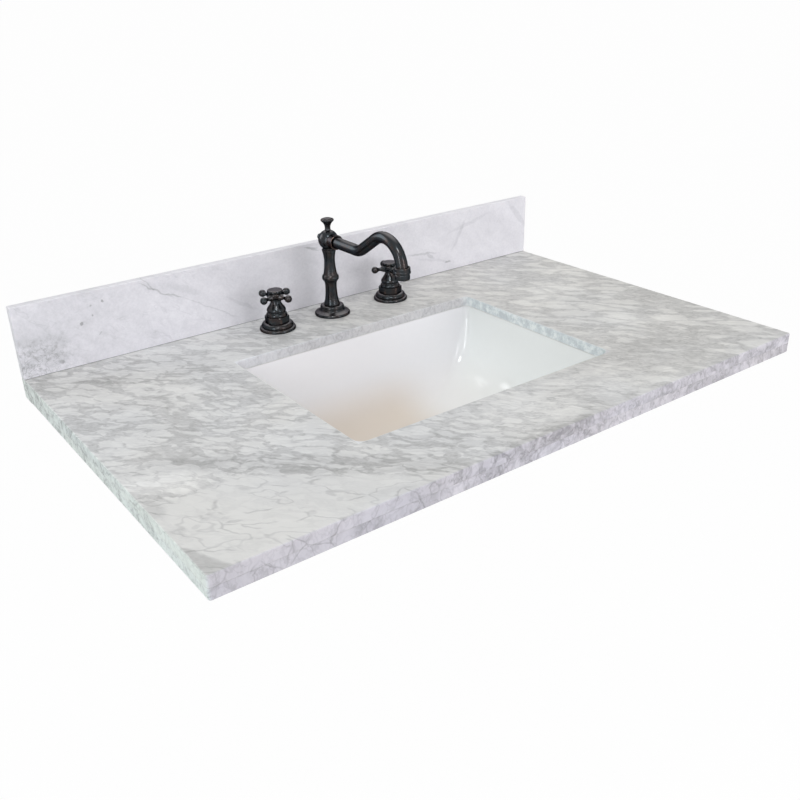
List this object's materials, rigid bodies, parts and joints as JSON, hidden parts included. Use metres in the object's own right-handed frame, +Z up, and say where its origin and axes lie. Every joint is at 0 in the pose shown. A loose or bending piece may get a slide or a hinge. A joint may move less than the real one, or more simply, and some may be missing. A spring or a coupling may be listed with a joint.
{
  "type": "vanity sink top",
  "caption": "Marble vanity top with an undermount rectangular basin, a backsplash, a widespread two handle faucet with a curved spout and a pop-up drain.",
  "frame": {"origin": "middle of the rear edge strip's underside, where the top rests on the cabinet's back rail", "axes": "+X to the right end of the top, +Y to the wall behind the backsplash, +Z up"},
  "size_m": [0.9144, 0.5588, 0.4033],
  "materials": {
    "marble_top": "polished white marble with grey veins",
    "marble_splash": "polished bluish white marble with faint veins",
    "joint_silicone": "satin grey silicone",
    "rim_sealant": "satin white silicone",
    "vitreous_china": "glossy white glaze",
    "dark_bronze": "oil rubbed dark bronze, satin",
    "worn_bronze": "oil rubbed bronze with a worn copper edge",
    "bare_brass": "plain machined brass",
    "zinc_steel": "zinc plated",
    "black_rubber": "matt moulded rubber",
    "white_plastic": "moulded plastic"
  },
  "bodies": {
    "vanity_top": {"countertop_slab": "marble_top", "edge_strip_front": "marble_top", "edge_strip_rear": "marble_top", "edge_strip_left": "marble_top", "edge_strip_right": "marble_top", "backsplash": "marble_splash", "backsplash_silicone_bed": "joint_silicone", "sink_sealant_bead": "rim_sealant", "sink_basin": "vitreous_china", "drain_flange": "dark_bronze", "drain_body": "dark_bronze", "drain_tailpiece": "dark_bronze", "pivot_rod_nut": "dark_bronze", "spout_flange": "dark_bronze", "spout_column": "dark_bronze", "left_valve_flange": "dark_bronze", "left_valve_nut": "dark_bronze", "left_valve_bonnet": "dark_bronze", "right_valve_flange": "dark_bronze", "right_valve_nut": "dark_bronze", "right_valve_bonnet": "dark_bronze", "drain_lock_nut": "bare_brass", "spout_shank": "bare_brass", "spout_lock_nut": "bare_brass", "lift_rod_guide": "bare_brass", "left_valve_body": "bare_brass", "right_valve_body": "bare_brass", "left_valve_lock_nut": "bare_brass", "right_valve_lock_nut": "bare_brass", "sink_clip_front_left": "zinc_steel", "sink_clip_front_right": "zinc_steel", "sink_clip_rear_left": "zinc_steel", "sink_clip_rear_right": "zinc_steel", "clip_bolt_front_left": "zinc_steel", "clip_bolt_front_right": "zinc_steel", "clip_bolt_rear_left": "zinc_steel", "clip_bolt_rear_right": "zinc_steel", "drain_gasket": "black_rubber", "spout_washer": "black_rubber", "left_valve_washer": "black_rubber", "right_valve_washer": "black_rubber", "drain_washer": "white_plastic"},
    "left_handle": {"left_cross_handle": "dark_bronze", "left_handle_cap": "dark_bronze", "left_valve_stem": "bare_brass"},
    "right_handle": {"right_cross_handle": "dark_bronze", "right_handle_cap": "dark_bronze", "right_valve_stem": "bare_brass"},
    "spout_head": {"spout_ball_head": "dark_bronze", "spout_rear_knob": "dark_bronze", "spout_collar": "worn_bronze", "spout_tube": "dark_bronze", "aerator_housing": "dark_bronze", "aerator_insert": "white_plastic"},
    "lift_rod": {"lift_rod": "dark_bronze", "lift_rod_knob": "dark_bronze", "lift_rod_strap": "zinc_steel", "strap_thumbscrew": "bare_brass"},
    "pivot_rod": {"pivot_rod": "bare_brass"},
    "stopper": {"drain_stopper": "dark_bronze"}
  },
  "joints": [
    {"name": "left_handle_turn", "type": "hinge", "parent": "vanity_top", "child": "left_handle", "pos_m": [-0.0992, -0.0495, 0.0731], "axis": [0, 0, 1], "range_deg": [0, 90]},
    {"name": "right_handle_turn", "type": "hinge", "parent": "vanity_top", "child": "right_handle", "pos_m": [0.1102, -0.0495, 0.0731], "axis": [0, 0, -1], "range_deg": [0, 90]},
    {"name": "spout_swivel", "type": "hinge", "parent": "vanity_top", "child": "spout_head", "pos_m": [0, -0.047, 0.146], "axis": [0, 0, 1], "range_deg": [-60, 60]},
    {"name": "lift_rod_slide", "type": "slide", "parent": "vanity_top", "child": "lift_rod", "axis": [0, 0, 1], "range_m": [0, 0.038]},
    {"name": "pivot_rod_rock", "type": "hinge", "parent": "vanity_top", "child": "pivot_rod", "pos_m": [0, -0.2264, -0.1817], "axis": [1, 0, 0], "range_deg": [0, 12.4]},
    {"name": "stopper_slide", "type": "slide", "parent": "vanity_top", "child": "stopper", "axis": [0, 0, 1], "range_m": [-0.006, 0]}
  ],
  "couplings": [
    {"joint": "pivot_rod_rock", "follows": "lift_rod_slide", "rad_per_m": 5.5741},
    {"joint": "stopper_slide", "follows": "lift_rod_slide", "ratio": -0.15608}
  ]
}
